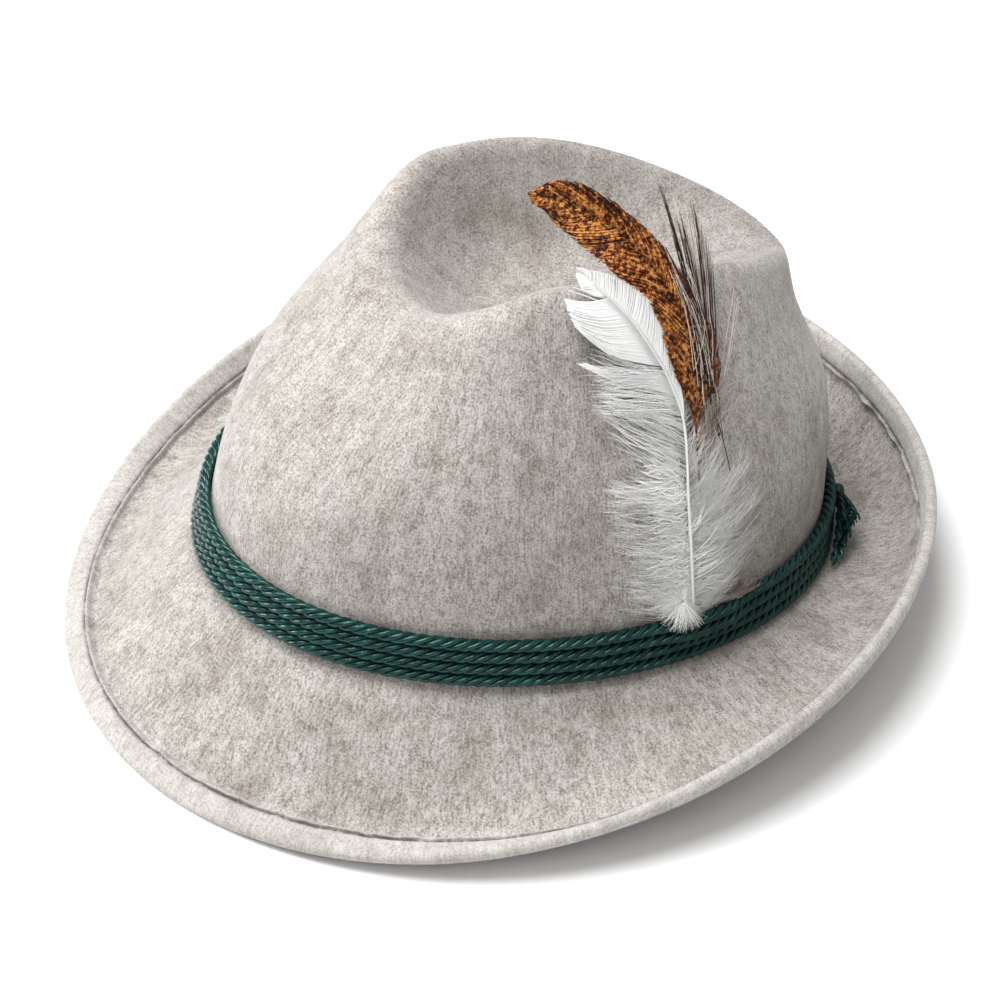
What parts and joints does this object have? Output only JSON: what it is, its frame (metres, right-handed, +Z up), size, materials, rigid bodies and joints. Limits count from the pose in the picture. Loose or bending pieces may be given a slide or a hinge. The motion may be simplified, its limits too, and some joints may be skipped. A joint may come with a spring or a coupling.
{
  "type": "tyrolean hat",
  "caption": "Grey felt hat with a dented crown, a brim turned down in front and up behind, a twisted cord band with loose ends and a plume of feathers and down.",
  "frame": {"origin": "on the surface the hat rests on, in the middle of its outline", "axes": "+Z up, the front of the hat towards -Y, the wearer's left towards +X"},
  "size_m": [0.2788, 0.2992, 0.1787],
  "materials": {
    "felt": "matte heather wool felt",
    "cord": "twisted cord with a soft sheen",
    "white_vane": "matte feather",
    "brown_vane": "barred feather",
    "down": "soft down",
    "dark_barbs": "matte feather"
  },
  "bodies": {
    "root": {"felt_body": "felt", "cord_strand_1": "cord", "cord_strand_2": "cord", "cord_strand_3": "cord", "cord_strand_4": "cord", "cord_tassel": "cord", "white_feather": "white_vane", "brown_feather": "brown_vane", "down_tuft": "down", "brown_wisps": "dark_barbs"}
  },
  "joints": []
}
